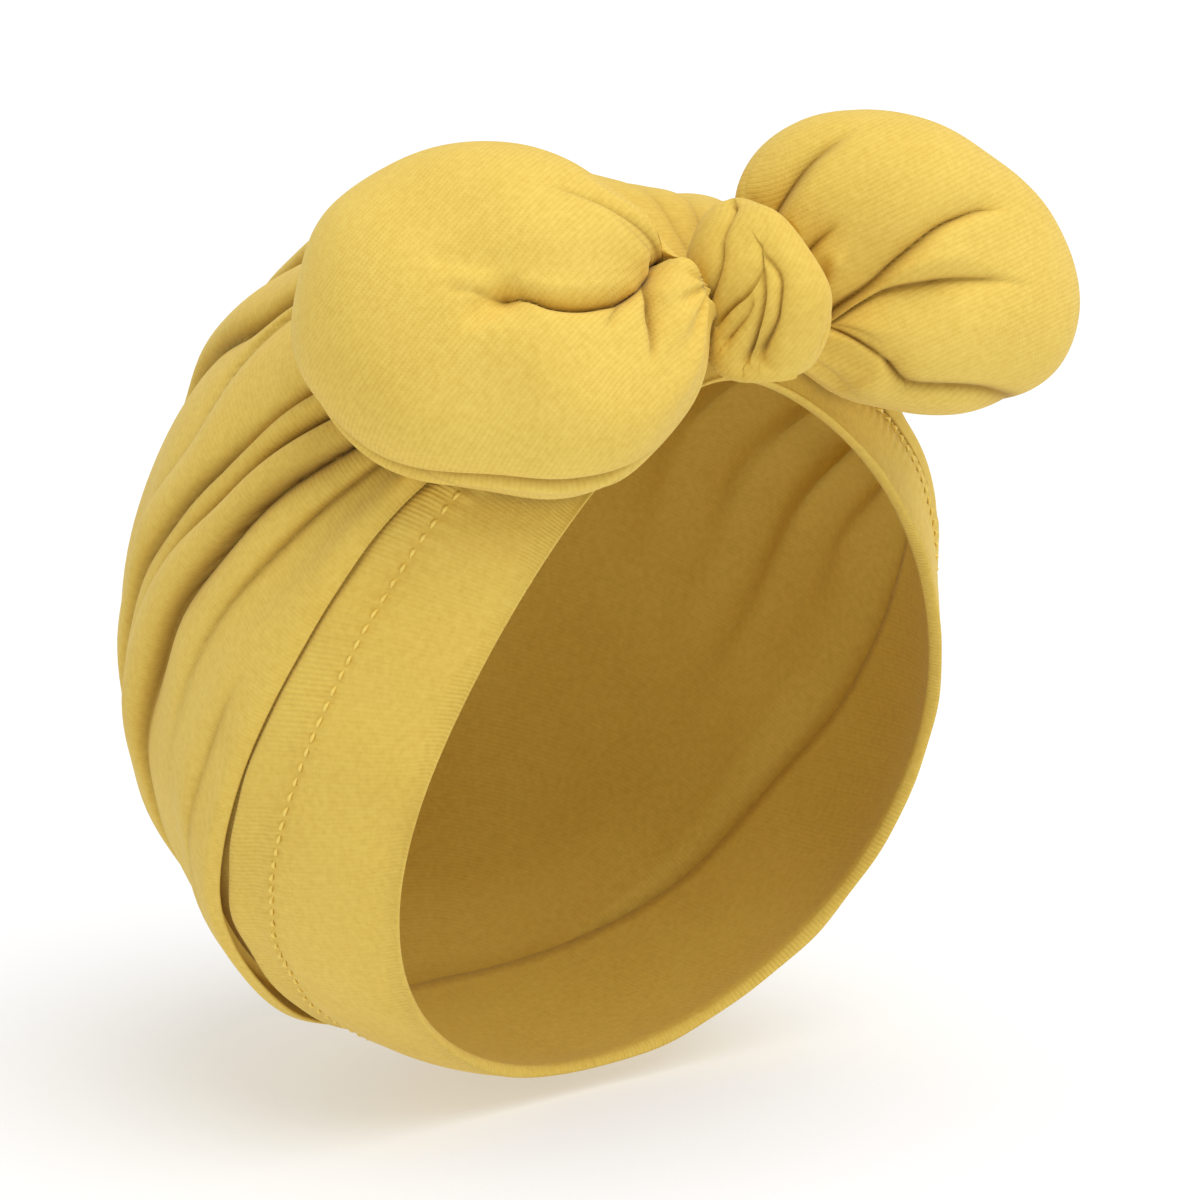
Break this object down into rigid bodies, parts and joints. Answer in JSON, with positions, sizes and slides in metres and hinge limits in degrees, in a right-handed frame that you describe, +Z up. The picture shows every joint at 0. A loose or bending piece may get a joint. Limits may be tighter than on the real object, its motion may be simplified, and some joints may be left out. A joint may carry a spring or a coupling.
{
  "type": "turban hat",
  "caption": "Soft jersey turban hat with a hemmed front band, a folded crown and a stuffed bow tied in a knot above the face opening.",
  "frame": {"origin": "centre of the head hollow, where the hat sits on a head", "axes": "+Z up and +X to the wearer's left as the hat is shown; the face opening looks to -Y and 16 degrees down"},
  "size_m": [0.1458, 0.146, 0.1639],
  "materials": {
    "crown_jersey": "fine matt cotton jersey, mustard yellow",
    "band_jersey": "fine matt cotton jersey, mustard yellow",
    "knot_jersey": "fine matt cotton jersey, mustard yellow",
    "ear_jersey": "fine matt cotton jersey, mustard yellow"
  },
  "bodies": {
    "root": {"crown": "crown_jersey", "front_band": "band_jersey", "knot": "knot_jersey", "bow_ear_right": "ear_jersey", "bow_ear_left": "ear_jersey"}
  },
  "joints": []
}
